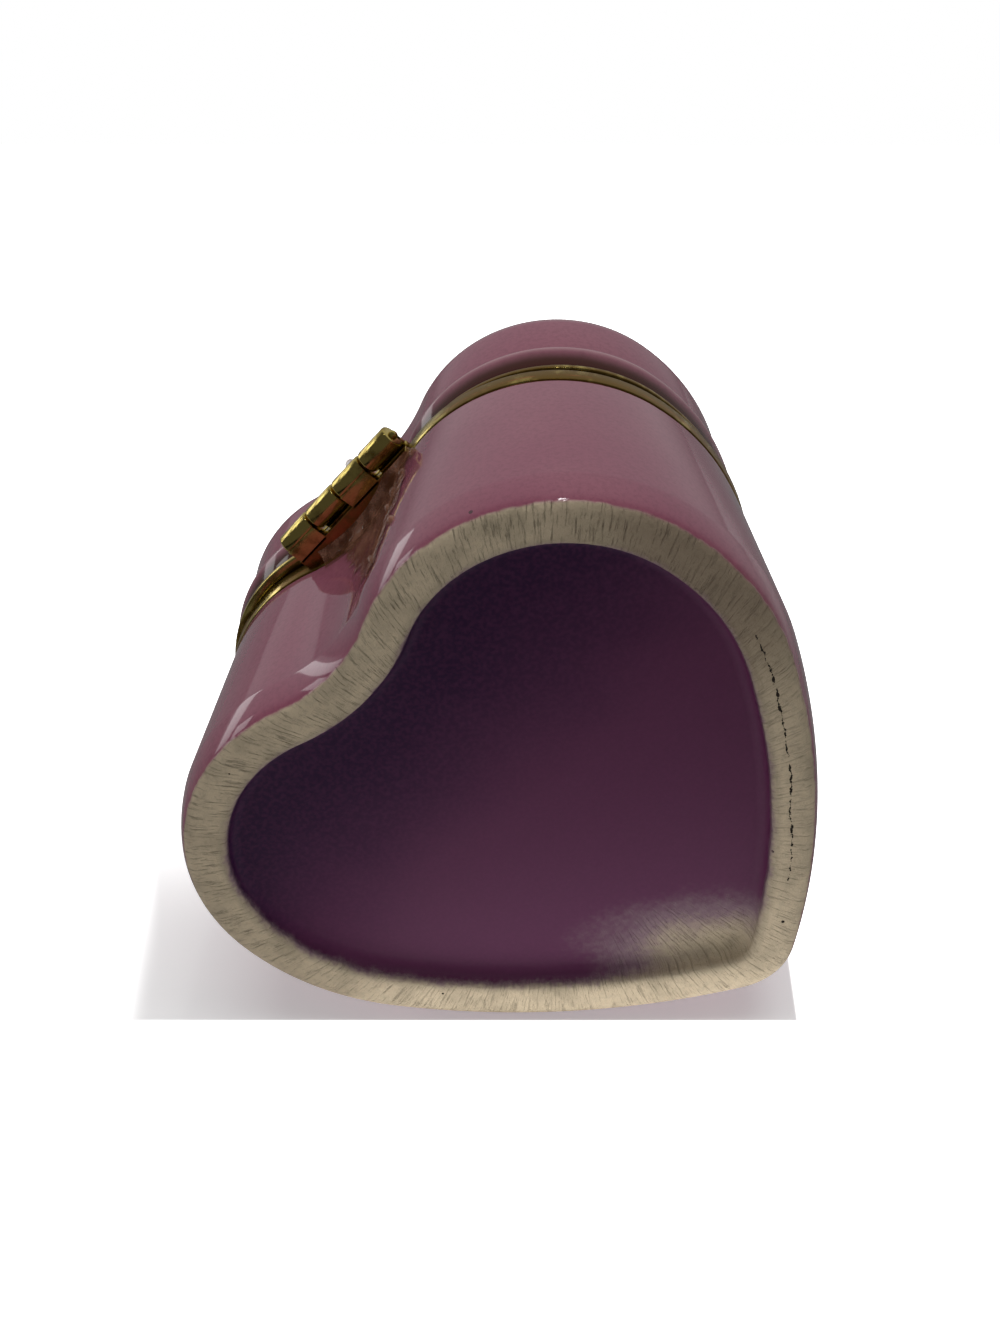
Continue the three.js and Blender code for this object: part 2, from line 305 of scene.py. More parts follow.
class Graph:
    """A shader node tree while it is being filled."""

    def __init__(self, tree: bpy.types.NodeTree) -> None:
        """Starts on a tree."""
        self.tree = tree

    def node(self, kind: str, inputs: dict | None = None, **settings: object) -> bpy.types.Node:
        """Adds one node.

        Args:
            kind: The node's type name.
            inputs: Values or sockets for its inputs, by name or number.
            settings: Properties of the node.

        Returns:
            The new node.
        """
        made = self.tree.nodes.new(kind)
        for key, value in settings.items():
            setattr(made, key, value)
        for key, value in (inputs or {}).items():
            if isinstance(value, bpy.types.NodeSocket):
                self.tree.links.new(value, made.inputs[key])
            else:
                made.inputs[key].default_value = value
        return made

    def math(self, operation: str, first: object, second: object = 0.0) -> bpy.types.NodeSocket:
        """Joins two numbers with a Math node and gives its output."""
        return self.node("ShaderNodeMath", {0: first, 1: second}, operation=operation).outputs[0]

    def noise(self, vector: object, scale: float, detail: float = 3.0, **more: float) -> bpy.types.NodeSocket:
        """Gives the value of a noise pattern at a vector."""
        inputs = {"Vector": vector, "Scale": scale, "Detail": detail, **more}
        return self.node("ShaderNodeTexNoise", inputs).outputs["Fac"]

    def ease(self, value: object, low: float, high: float, start: float = 0.0, end: float = 1.0) -> object:
        """Maps a number smoothly from one range to another and clamps it.

        Args:
            value: The number's socket.
            low: The number that gives start.
            high: The number that gives end.
            start: The lowest result.
            end: The highest result.

        Returns:
            The output socket.
        """
        inputs = {"Value": value, "From Min": low, "From Max": high, "To Min": start, "To Max": end}
        return self.node("ShaderNodeMapRange", inputs, interpolation_type="SMOOTHSTEP").outputs["Result"]

    def blend(self, factor: object, first: object, second: object) -> bpy.types.NodeSocket:
        """Mixes two colours by a factor and gives the result."""
        return self.node("ShaderNodeMix", {0: factor, 6: first, 7: second}, data_type="RGBA").outputs[2]

    def stretched(self, vector: object, scale: tuple[float, float, float]) -> bpy.types.NodeSocket:
        """Multiplies a vector by three scales."""
        return self.node("ShaderNodeVectorMath", {0: vector, 1: scale}, operation="MULTIPLY").outputs[0]

    def length(self, vector: object) -> bpy.types.NodeSocket:
        """Gives the length of a vector."""
        return self.node("ShaderNodeVectorMath", {0: vector}, operation="LENGTH").outputs["Value"]

    def along(self, vector: object, direction: Vector) -> bpy.types.NodeSocket:
        """Gives how far a vector reaches along a direction."""
        inputs = {0: vector, 1: direction}
        return self.node("ShaderNodeVectorMath", inputs, operation="DOT_PRODUCT").outputs["Value"]

    def bump(self, height: object, strength: float, distance: float, **more: object) -> object:
        """Gives the normal of a surface that a height raises."""
        inputs = {"Height": height, "Strength": strength, "Distance": distance, **more}
        return self.node("ShaderNodeBump", inputs).outputs[0]

    def use(self, group: bpy.types.NodeTree, inputs: dict) -> bpy.types.Node:
        """Places a node group with its own values."""
        return self.node("ShaderNodeGroup", inputs, node_tree=group)


def new_group(name: str, sockets: dict[str, str], outputs: dict[str, str]) -> tuple[Graph, object, object]:
    """Starts a node group.

    Args:
        name: The group's name.
        sockets: Input names with their socket types.
        outputs: Output names with their socket types.

    Returns:
        The graph to fill, the group's input node and its output node.
    """
    tree = bpy.data.node_groups.new(name, "ShaderNodeTree")
    for socket, kind in sockets.items():
        tree.interface.new_socket(name=socket, in_out="INPUT", socket_type=kind)
    for socket, kind in outputs.items():
        tree.interface.new_socket(name=socket, in_out="OUTPUT", socket_type=kind)
    graph = Graph(tree)
    return graph, graph.node("NodeGroupInput"), graph.node("NodeGroupOutput")


FLOAT = "NodeSocketFloat"
VECTOR = "NodeSocketVector"


class Effects:
    """The node groups that more than one finish uses, each built once."""

    def __init__(self) -> None:
        """Builds every group."""
        self.specks = self.build_specks()
        self.mottle = self.build_mottle()
        self.scratches = self.build_scratches()

    @staticmethod
    def build_specks() -> bpy.types.NodeTree:
        """Builds round specks scattered at random.

        Returns:
            A group whose Mask is 1 on a speck.
        """
        sockets = {"Vector": VECTOR, "Scale": FLOAT, "Size": FLOAT, "Share": FLOAT}
        graph, given, result = new_group("scattered_specks", sockets, {"Mask": FLOAT})
        inputs = {"Vector": given.outputs["Vector"], "Scale": given.outputs["Scale"]}
        cells = graph.node("ShaderNodeTexVoronoi", inputs)
        near = graph.math("LESS_THAN", cells.outputs["Distance"], given.outputs["Size"])
        red = graph.node("ShaderNodeSeparateColor", {"Color": cells.outputs["Color"]}).outputs["Red"]
        chosen = graph.math("LESS_THAN", red, given.outputs["Share"])
        graph.tree.links.new(graph.math("MULTIPLY", near, chosen), result.inputs["Mask"])
        return graph.tree

    @staticmethod
    def build_mottle() -> bpy.types.NodeTree:
        """Builds the cloudy unevenness of a glaze with a fine grain in it.

        Returns:
            A group with Cloud, Grain and Height.
        """
        outputs = {"Cloud": FLOAT, "Grain": FLOAT, "Height": FLOAT}
        graph, given, result = new_group("glaze_mottle", {"Vector": VECTOR}, outputs)
        cloud = graph.noise(given.outputs["Vector"], 90.0, 2.0)
        grain = graph.noise(given.outputs["Vector"], 2600.0, 2.0, Roughness=0.7)
        swell = graph.noise(given.outputs["Vector"], 130.0, 1.0)
        graph.tree.links.new(cloud, result.inputs["Cloud"])
        graph.tree.links.new(grain, result.inputs["Grain"])
        graph.tree.links.new(swell, result.inputs["Height"])
        return graph.tree

    @staticmethod
    def build_scratches() -> bpy.types.NodeTree:
        """Builds fine scratches from a stretched vector.

        Returns:
            A group whose Mask is 1 in a scratch and whose Height falls there.
        """
        sockets = {"Vector": VECTOR, "Scale": FLOAT, "Depth": FLOAT}
        graph, given, result = new_group("fine_scratches", sockets, {"Mask": FLOAT, "Height": FLOAT})
        lines = graph.noise(given.outputs["Vector"], given.outputs["Scale"], 4.0, Roughness=0.75)
        mask = graph.ease(lines, 0.52, 0.7)
        graph.tree.links.new(mask, result.inputs["Mask"])
        graph.tree.links.new(graph.math("MULTIPLY", mask, given.outputs["Depth"]), result.inputs["Height"])
        return graph.tree


class Finish(Graph):
    """A material while its node tree is being filled."""

    def __init__(self, name: str) -> None:
        """Starts a material and finds its shader and the Object coordinates."""
        self.material = bpy.data.materials.new(name)
        self.material.use_nodes = True
        super().__init__(self.material.node_tree)
        self.shader = self.tree.nodes["Principled BSDF"]
        self.coords = self.node("ShaderNodeTexCoord").outputs["Object"]

    def dress(self, sockets: dict[str, object]) -> bpy.types.Material:
        """Feeds the shader's named sockets with outputs, or sets them to plain values.

        Args:
            sockets: Sockets or values, by the name of the shader's input.

        Returns:
            The finished material.
        """
        for name, value in sockets.items():
            if isinstance(value, bpy.types.NodeSocket):
                self.tree.links.new(value, self.shader.inputs[name])
            else:
                self.shader.inputs[name].default_value = value
        return self.material


@dataclass(frozen=True)
class MauveGlaze:
    """The glossy mauve glaze of the lid and of the box's walls."""

    colour: tuple = (0.282, 0.087, 0.132, 1.0)
    thin_colour: tuple = (0.325, 0.116, 0.156, 1.0)
    speck: tuple = (0.10, 0.05, 0.06, 1.0)
    roughness: float = 0.06
    relief: float = 0.2
    relief_height: float = 0.2 * MM

    def paint(self, graph: Graph, effects: Effects, coords: object) -> tuple[object, object]:
        """Adds the glaze's colour and height to a graph.

        Args:
            graph: The material's graph.
            effects: The shared groups.
            coords: The Object coordinates.

        Returns:
            The colour socket and the height socket.
        """
        mottle = graph.use(effects.mottle, {"Vector": coords})
        cloud = graph.ease(mottle.outputs["Cloud"], 0.3, 0.75, 0.0, 0.6)
        body = graph.blend(cloud, self.colour, self.thin_colour)
        grain = graph.ease(mottle.outputs["Grain"], 0.35, 0.75, 0.0, 0.3)
        grained = graph.blend(grain, body, shaded(self.colour, 0.6))
        specks = graph.use(effects.specks, {"Vector": coords, "Scale": 700.0, "Size": 0.12, "Share": 0.03})
        return graph.blend(specks.outputs["Mask"], grained, self.speck), mottle.outputs["Height"]


@dataclass(frozen=True)
class LidGlaze:
    """The lid's glaze, with a painted highlight, pale pink, along the top of the bead and painted shade, dark
    red-brown, under it.
    """

    wall: MauveGlaze
    bead_crest: float
    bead_shade: tuple = (0.050, 0.008, 0.004, 1.0)
    crest_highlight: tuple = (0.42, 0.24, 0.26, 1.0)
    ragged: float = 0.5 * MM

    def build(self, effects: Effects) -> bpy.types.Material:
        """Builds the material."""
        graph = Finish("lid_glaze")
        coords = graph.coords
        colour, height = self.wall.paint(graph, effects, coords)
        level = graph.node("ShaderNodeSeparateXYZ", {0: coords}).outputs["Z"]
        run = graph.math("ADD", level, graph.math("MULTIPLY", graph.noise(coords, 240.0), self.ragged))
        # Painted highlight: the glaze turns pale pink over the top of the bead, set by height with a ragged
        # edge.
        edge = self.bead_crest + self.ragged / 2
        highlight_rise = graph.ease(run, edge - 0.5 * MM, edge, 0.0, 0.55)
        thin = graph.math("MULTIPLY", highlight_rise, graph.ease(run, edge + 0.7 * MM, edge + 1.4 * MM, 1.0, 0.0))
        colour = graph.blend(thin, colour, self.crest_highlight)
        # Painted shade: dark red-brown from the lid's foot up to the bead's widest point, fading out just
        # above it.
        painted_shade = graph.ease(run, edge - 1.4 * MM, edge + 0.1 * MM, 1.0, 0.0)
        colour = graph.blend(painted_shade, colour, self.bead_shade)
        normal = graph.bump(height, self.wall.relief, self.wall.relief_height)
        return graph.dress({"Base Color": colour, "Roughness": self.wall.roughness, "Normal": normal})


@dataclass(frozen=True)
class BodyCeramic:
    """The box's ceramic: mauve walls, a bare cream foot ring and a recess sprayed dark purple."""

    wall: MauveGlaze
    land_start_mm: float
    land_end_mm: float
    cream: tuple = (0.64, 0.525, 0.365, 1.0)
    grey_cream: tuple = (0.37, 0.305, 0.21, 1.0)
    violet_in_shade: tuple = (0.030, 0.0050, 0.040, 1.0)
    wine: tuple = (0.115, 0.024, 0.077, 1.0)
    mist: tuple = (0.25, 0.165, 0.19, 1.0)
    soot: tuple = (0.025, 0.016, 0.012, 1.0)
    dark_patch: tuple = (0.17, 0.115, 0.08, 1.0)
    crack_run_mm: float = 3.55
    crack_end: tuple[float, float] = (-8 * MM, 1 * MM)
    bare_spot: tuple[float, float] = (1.2 * MM, 4.2 * MM)
    dark_patch_place: tuple[float, float, float] = (-25 * MM, 7 * MM, 0.0)
    matt_roughness: float = 0.55
    ground_relief: float = 0.6
    ground_depth: float = 0.18 * MM

    def build(self, effects: Effects, outline: HeartOutline) -> bpy.types.Material:
        """Builds the material.

        Args:
            effects: The shared groups.
            outline: The heart, for the place of its tip.

        Returns:
            The material.
        """
        graph = Finish("body_ceramic")
        coords = graph.coords
        run = graph.node("ShaderNodeAttribute", attribute_name="run_mm").outputs["Fac"]
        parts = graph.node("ShaderNodeSeparateXYZ", {0: coords})
        ragged = graph.math("MULTIPLY", graph.noise(coords, 900.0), 0.4)
        glazed = graph.ease(graph.math("ADD", run, ragged), self.land_end_mm, self.land_end_mm + 0.35)
        wall, height = self.wall.paint(graph, effects, coords)
        cover = self.spray(graph, coords, run, outline)
        # Painted shade, with a bluer tone: the sprayed purple darkens from wine to a dark bluish purple
        # towards +Y, where the foot ring shades the recess.
        sway = graph.math("MULTIPLY", graph.noise(coords, 90.0), 8 * MM)
        along = graph.math("ADD", parts.outputs["Y"], sway)
        purple = graph.blend(graph.ease(along, 4 * MM, 21 * MM), self.wine, self.violet_in_shade)
        grain = graph.ease(graph.noise(coords, 3000.0, 2.0), 0.35, 0.7, 0.0, 0.25)
        purple = graph.blend(grain, purple, shaded(self.wine, 1.3))
        bare, rough = self.bare_foot(graph, effects, coords, run, parts)
        colour = graph.blend(graph.ease(cover, 0.0, 0.55), bare, self.mist)
        colour = graph.blend(graph.ease(cover, 0.35, 0.9), colour, purple)
        colour = graph.blend(glazed, colour, wall)
        matt = graph.math("SUBTRACT", 1.0, graph.math("MAXIMUM", glazed, graph.ease(cover, 0.3, 0.8)))
        satin = graph.math("MULTIPLY", graph.math("SUBTRACT", 1.0, glazed), 0.28)
        dry = graph.ease(matt, 0.0, 1.0, self.wall.roughness, self.matt_roughness)
        roughness = graph.math("ADD", dry, satin)
        smooth = graph.bump(height, self.wall.relief, self.wall.relief_height)
        ground = graph.math("MULTIPLY", rough, matt)
        normal = graph.bump(ground, self.ground_relief, self.ground_depth, Normal=smooth)
        return graph.dress({"Base Color": colour, "Roughness": roughness, "Normal": normal})

    def spray(self, graph: Graph, coords: object, run: object, outline: HeartOutline) -> object:
        """Adds how densely the purple glaze covers the underside: full in the recess, thin at the tip.

        Args:
            graph: The material's graph.
            coords: The Object coordinates.
            run: How far along the profile a point lies, in millimetres.
            outline: The heart, for the place of its tip.

        Returns:
            The cover's socket, from 0 to 1.
        """
        dots = graph.math("MULTIPLY", graph.noise(coords, 2600.0, 2.0), 0.7)
        cloud = graph.math("MULTIPLY", graph.noise(coords, 420.0), 0.9)
        reach = graph.math("ADD", run, graph.math("ADD", dots, cloud))
        inside = graph.ease(reach, self.land_start_mm - 0.9, self.land_start_mm + 1.1, 1.0, 0.0)
        bare_spot = Vector((self.bare_spot[0], outline.tip_y + self.bare_spot[1], 0.0))
        centred = graph.node("ShaderNodeMapping", {"Vector": coords, "Location": -bare_spot}).outputs[0]
        turned = graph.node("ShaderNodeMapping", {"Vector": centred, "Rotation": (0, 0, math.radians(-50))})
        oval = graph.stretched(turned.outputs[0], (0.62, 1.25, 0.0))
        away = graph.length(oval)
        drift = graph.math("MULTIPLY", graph.noise(coords, 200.0), 4 * MM)
        fine = graph.math("MULTIPLY", graph.noise(coords, 1800.0, 3.0), 2.5 * MM)
        thinned = graph.ease(graph.math("ADD", away, graph.math("ADD", drift, fine)), 3.2 * MM, 14 * MM)
        return graph.math("MULTIPLY", inside, thinned)

    def bare_foot(
        self, graph: Graph, effects: Effects, coords: object, run: object, parts: bpy.types.Node
    ) -> tuple[object, object]:
        """Adds the unglazed foot with its grinding scratches, a darker brown patch, specks and hairline
        crack.

        Args:
            graph: The material's graph.
            effects: The shared groups.
            coords: The Object coordinates.
            run: How far along the profile a point lies, in millimetres.
            parts: The Object coordinates, separated.

        Returns:
            The colour socket and the height socket.
        """
        turn = graph.math("ARCTAN2", parts.outputs["X"], parts.outputs["Y"])
        radius = graph.length(coords)
        polar = graph.node("ShaderNodeCombineXYZ", {0: graph.math("MULTIPLY", turn, 0.02), 1: radius})
        lines = graph.stretched(polar.outputs[0], (1.0, 0.07, 1.0))
        scratches = graph.use(effects.scratches, {"Vector": lines, "Scale": 5500.0, "Depth": -1.0})
        grain = graph.noise(coords, 1700.0, 4.0, Roughness=0.7)
        cloud = graph.ease(graph.noise(coords, 300.0, 4.0), 0.42, 0.72, 0.0, 0.55)
        colour = graph.blend(cloud, self.cream, self.grey_cream)
        colour = graph.blend(graph.ease(grain, 0.45, 0.8, 0.0, 0.6), colour, self.grey_cream)
        ground_deep = graph.ease(parts.outputs["Y"], -8 * MM, 16 * MM, 0.4, 0.85)
        scratched = graph.math("MULTIPLY", scratches.outputs["Mask"], ground_deep)
        colour = graph.blend(scratched, colour, shaded(self.grey_cream, 0.55))
        edge = graph.ease(run, self.land_start_mm - 0.2, self.land_start_mm + 0.5, 0.5, 0.0)
        colour = graph.blend(edge, colour, self.grey_cream)
        # A darker brown patch round a place at -25 mm along X and 7 mm along Y, spread by the cloud noise.
        inputs = {0: coords, 1: self.dark_patch_place}
        away = graph.node("ShaderNodeVectorMath", inputs, operation="DISTANCE").outputs["Value"]
        spread = graph.math("ADD", away, graph.math("MULTIPLY", cloud, 6 * MM))
        dark_patch = graph.ease(spread, 4 * MM, 16 * MM, 0.65, 0.0)
        colour = graph.blend(dark_patch, colour, self.dark_patch)
        specks = graph.use(effects.specks, {"Vector": coords, "Scale": 420.0, "Size": 0.06, "Share": 0.12})
        marks = graph.math("MAXIMUM", specks.outputs["Mask"], self.crack(graph, coords, run, parts))
        colour = graph.blend(marks, colour, self.soot)
        height = graph.math("ADD", scratches.outputs["Height"], grain)
        return colour, graph.math("SUBTRACT", height, marks)

    def crack(self, graph: Graph, coords: object, run: object, parts: bpy.types.Node) -> object:
        """Adds the broken hairline that runs along the foot on the flank at -X.

        Args:
            graph: The material's graph.
            coords: The Object coordinates.
            run: How far along the profile a point lies, in millimetres.
            parts: The Object coordinates, separated.

        Returns:
            A mask that is 1 in the crack.
        """
        sway = graph.math("MULTIPLY", graph.noise(coords, 130.0, 1.0), 1.6)
        tremble = graph.math("MULTIPLY", graph.noise(coords, 1500.0, 3.0), 0.5)
        middle = graph.math("ADD", graph.math("ADD", sway, tremble), self.crack_run_mm - 1.05)
        off = graph.math("ABSOLUTE", graph.math("SUBTRACT", run, middle))
        width = graph.ease(graph.noise(coords, 1300.0, 5.0, Roughness=0.7), 0.42, 0.66, 0.0, 0.14)
        line = graph.math("LESS_THAN", off, width)
        left = graph.math("LESS_THAN", parts.outputs["X"], self.crack_end[0])
        upper = graph.math("LESS_THAN", parts.outputs["Y"], self.crack_end[1])
        return graph.math("MULTIPLY", line, graph.math("MULTIPLY", left, upper))


@dataclass(frozen=True)
class PolishedBrass:
    """Olive-gold brass: polished on the hinge, tarnished brown elsewhere with painted shade on the rim and
    plate, and under the plate a painted orange-red reflection of the glaze mixed with tarnish.
    """

    plate_low: float
    plate_edge: float
    name: str = "polished_brass"
    colour: tuple = (0.64, 0.50, 0.15, 1.0)
    tarnish: tuple = (0.24, 0.145, 0.034, 1.0)
    glaze_reflection: tuple = (0.42, 0.165, 0.055, 1.0)
    tarnish_share: float = 0.35
    roughness: float = 0.1

    def build(self, effects: Effects) -> bpy.types.Material:
        """Builds the material."""
        graph = Finish(self.name)
        coords = graph.coords
        patches = graph.noise(coords, 520.0, 4.0, Roughness=0.65)
        edge = 0.75 - 0.3 * self.tarnish_share
        parts = graph.node("ShaderNodeSeparateXYZ", {0: coords})
        # Tarnish and painted shade: the rim and the plate, short of the plate's outer edge, are duller and
        # browner than the knuckles.
        rim_tarnish_and_shade = graph.ease(parts.outputs["Y"], self.plate_edge - 0.4 * MM, self.plate_edge, 0.25, 0.0)
        dull = graph.ease(graph.math("ADD", patches, rim_tarnish_and_shade), edge - 0.2, edge + 0.12)
        colour = graph.blend(dull, self.colour, self.tarnish)
        # Painted reflection of the glaze, orange-red, mixed with tarnish patches on the plate's underside.
        low = self.plate_low
        under = graph.ease(parts.outputs["Z"], low + 0.02 * MM, low + 0.12 * MM, 1.0, 0.0)
        above = graph.math("GREATER_THAN", parts.outputs["Z"], low - 0.05 * MM)
        reflection_and_tarnish = graph.blend(graph.ease(patches, 0.45, 0.62), self.glaze_reflection, self.tarnish)
        inboard = graph.math("LESS_THAN", parts.outputs["Y"], self.plate_edge - 0.05 * MM)
        below = graph.math("MULTIPLY", graph.math("MULTIPLY", under, above), inboard)
        colour = graph.blend(below, colour, reflection_and_tarnish)
        lines = graph.stretched(coords, (1.0, 1.0, 6.0))
        scratches = graph.use(effects.scratches, {"Vector": lines, "Scale": 1800.0, "Depth": -1.0})
        worn = graph.math("MAXIMUM", dull, graph.math("MULTIPLY", below, 1.2))
        roughness = graph.ease(worn, 0.0, 1.2, self.roughness, self.roughness + 0.28)
        normal = graph.bump(scratches.outputs["Height"], 0.12, 0.05 * MM)
        sockets = {"Base Color": colour, "Metallic": 1.0, "Roughness": roughness, "Normal": normal}
        return graph.dress(sockets)


@dataclass(frozen=True)
class AmberGlue:
    """Clear glue gone amber, in a thin glossy film that runs down the valley of the cleft."""

    colour: tuple = (0.16, 0.060, 0.030, 1.0)
    pale: tuple = (0.30, 0.14, 0.09, 1.0)
    top_mm: float = 20.0
    top_middle_mm: float = -3.9
    top_half_mm: float = 5.4
    lean: float = 0.19
    spread: float = 0.28
    roughness: float = 0.05

    def build(self) -> bpy.types.Material:
        """Builds the material, whose film ends raggedly inside its mesh."""
        graph = Finish("amber_glue")
        coords = graph.coords
        in_mm = graph.node("ShaderNodeVectorMath", {0: coords, "Scale": 1 / MM}, operation="SCALE").outputs[0]
        parts = graph.node("ShaderNodeSeparateXYZ", {0: in_mm})
        fallen = graph.math("SUBTRACT", self.top_mm, parts.outputs["Z"])
        middle = graph.math("SUBTRACT", self.top_middle_mm, graph.math("MULTIPLY", fallen, self.lean))
        half = graph.math("SUBTRACT", self.top_half_mm, graph.math("MULTIPLY", fallen, self.spread))
        off = graph.math("ABSOLUTE", graph.math("SUBTRACT", parts.outputs["X"], middle))
        ragged = graph.math("MULTIPLY", graph.math("SUBTRACT", graph.noise(coords, 420.0, 4.0), 0.5), 4.0)
        room = graph.math("ADD", graph.math("SUBTRACT", half, off), ragged)
        film = graph.ease(room, -0.15, 0.35)
        streaks = graph.noise(graph.stretched(coords, (1.0, 1.0, 0.3)), 900.0, 4.0)
        thick = graph.ease(streaks, 0.3, 0.7, 0.45, 0.85)
        colour = graph.blend(graph.ease(streaks, 0.35, 0.65), self.colour, self.pale)
        relief = graph.math("ADD", graph.math("MULTIPLY", graph.ease(room, -0.1, 1.2), 1.5), streaks)
        normal = graph.bump(relief, 0.7, 0.25 * MM)
        alpha = graph.math("MULTIPLY", film, thick)
        sockets = {"Base Color": colour, "Roughness": self.roughness, "Alpha": alpha, "Normal": normal}
        return graph.dress(sockets)

    def build_thick(self) -> bpy.types.Material:
        """Builds the finish of the thicker glue: drops and the fillet under the plate."""
        graph = Finish("thick_glue")
        coords = graph.coords
        streaks = graph.noise(coords, 700.0, 4.0)
        colour = graph.blend(graph.ease(streaks, 0.35, 0.65), self.colour, self.pale)
        normal = graph.bump(streaks, 0.5, 0.2 * MM)
        alpha = graph.ease(streaks, 0.3, 0.7, 0.35, 0.8)
        sockets = {"Base Color": colour, "Roughness": self.roughness, "Alpha": alpha, "Normal": normal}
        return graph.dress(sockets)


@dataclass
class CeramicBox:
    """The box's body: foot ring, recessed underside, belly, mouth and hollow inside."""

    outline: HeartOutline
    height: float
    wall: float = 2.9 * MM
    floor: float = 2.9 * MM
    belly_swell: float = 0.7 * MM
    belly_height: float = 3.7 * MM
    mouth_taper: float = 1.3 * MM
    mouth_edge: float = 0.35 * MM
    foot_width: float = 3.2 * MM
    foot_edge: float = 0.5 * MM
    foot_recess: float = 1.6 * MM
    bare_edge: float = 0.3 * MM
    cavity_fillet: float = 2.0 * MM
    inset: float = 0.02 * MM

    @property
    def cavity_floor(self) -> float:
        """Gives the height of the floor inside."""
        return self.foot_recess + self.floor

    def under_profile(self) -> list[ProfilePoint]:
        """Gives the profile from the recess to the foot's land."""
        fillet = self.foot_recess - self.foot_edge
        edge = self.foot_edge
        return [
            *corner(-self.foot_width - fillet, edge, fillet, fillet, 90, 0),
            *corner(-self.foot_width + edge, edge, edge, edge, 190, 270, 4),
        ]

    def wall_offset(self, z: float) -> float:
        """Gives the wall's outer offset at a height above the belly."""
        share = (z - self.belly_height) / (self.height - self.belly_height)
        return self.belly_swell - share * (self.belly_swell + self.mouth_taper)

    def profile(self) -> list[ProfilePoint]:
        """Gives the whole profile, from the recess round the foot and up to the floor inside."""
        edge = self.mouth_edge
        inner_mouth = -self.mouth_taper - self.wall
        fillet = self.cavity_fillet
        fillet_top = self.cavity_floor + fillet
        inner = self.wall_offset(fillet_top) - self.wall
        belly_drop = self.belly_height - self.foot_edge / 2
        points = [
            *self.under_profile(),
            (-self.foot_edge, 0.0),
            *corner(0, self.belly_height, self.belly_swell, belly_drop, -80, 0, 14),
            *corner(-self.mouth_taper - edge, self.height - edge, edge, edge, 0, 90),
            *corner(inner_mouth + edge, self.height - edge, edge, edge, 90, 180),
            *corner(inner - fillet, fillet_top, fillet, fillet, 0, -90),
        ]
        return [(offset - self.inset, z) for offset, z in points]

    def foot_marks(self) -> tuple[float, float]:
        """Works out where the foot's land starts and ends along the profile, in millimetres."""
        under = [Vector(point) for point in self.under_profile()]
        length = sum((second - first).length for first, second in pairwise(under))
        land = self.foot_width - 2 * self.foot_edge
        return length / MM, (length + land + self.foot_edge + self.bare_edge) / MM

    def build(self, effects: Effects) -> bpy.types.Object:
        """Builds the ceramic body, which stands for its CAD node."""
        bm = bmesh.new()
        profile = self.profile()
        self.outline.sweep(bm, profile)
        self.outline.draw_in(bm, profile[0][1], 0.0)
        self.outline.draw_in(bm, profile[-1][1], 0.0)
        start, end = self.foot_marks()
        finish = BodyCeramic(MauveGlaze(), start, end).build(effects, self.outline)
        piece = place_piece("ceramic_body", bm, finish, Side.BOX, sharp_angle=1.2)
        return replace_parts(piece, "box_body")


@dataclass
class CeramicLid:
    """The lid: rolled bead, crease, upright wall, shoulder, domed top and hollow inside."""

    outline: HeartOutline
    base: float
    wall: float = 2.3 * MM
    roof: float = 2.6 * MM
    wall_height: float = 9.1 * MM
    inset: float = 2.75 * MM
    bead_height: float = 3.0 * MM
    bead_swell: float = 0.7 * MM
    crease_depth: float = 0.15 * MM
    crease_height: float = 0.5 * MM
    shoulder: float = 3.0 * MM
    shoulder_end: float = 69.0
    inner_shoulder: float = 0.1 * MM
    dome_rise: float = 1.3 * MM
    bead_roll: float = 0.5 * MM
    bead_fall: float = 0.7 * MM
    crest_share: float = 0.95
    inner_foot: float = 0.3 * MM
    outer_foot: float = 0.25 * MM

    @property
    def bead_crest(self) -> float:
        """Gives the height at which the bead stands out furthest."""
        return self.base + self.bead_height * self.crest_share

    def profile(self) -> list[ProfilePoint]:
        """Gives the profile from the ceiling down inside, round the bead and up to the crown."""
        inner_shoulder = self.inner_shoulder
        shoulder = self.shoulder
        inner, outer = self.inner_foot, self.outer_foot
        inner_edge = -self.inset - self.wall - inner_shoulder
        wall_top = self.base + self.wall_height
        ceiling = wall_top + shoulder - self.roof
        roll = self.bead_swell - self.inset - self.bead_roll
        crease = self.bead_crest + self.bead_fall + self.crease_height / 2
        return [
            *corner(inner_edge, ceiling - inner_shoulder, inner_shoulder, inner_shoulder, 90, 0),
            *corner(-self.inset - self.wall + inner, self.base + inner, inner, inner, 180, 270, 3),
            *corner(-self.inset - outer, self.base + outer, outer, outer, -90, -20, 3),
            *corner(roll, self.bead_crest, self.bead_roll, self.bead_fall, -20, 70, 8),
            (-self.inset - self.crease_depth * 0.8, crease - self.crease_height / 4),
            (-self.inset - self.crease_depth, crease),
            (-self.inset - self.crease_depth * 0.8, crease + self.crease_height / 4),
            *corner(-self.inset - shoulder, wall_top, shoulder, shoulder, 0, self.shoulder_end, 12),
        ]

    def build(self, effects: Effects) -> bpy.types.Object:
        """Builds the ceramic lid, which stands for its CAD node."""
        bm = bmesh.new()
        profile = self.profile()
        self.outline.sweep(bm, profile)
        self.outline.draw_in(bm, profile[0][1], self.dome_rise)
        crown = self.base + self.wall_height + self.shoulder + self.dome_rise
        self.outline.draw_in(bm, profile[-1][1], crown - profile[-1][1])
        LID_SEAT.settle(bm, self.outline)
        finish = LidGlaze(MauveGlaze(), self.bead_crest).build(effects)
        piece = place_piece("ceramic_lid", bm, finish, Side.LID, sharp_angle=1.2)
        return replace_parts(piece, "lid_shell")


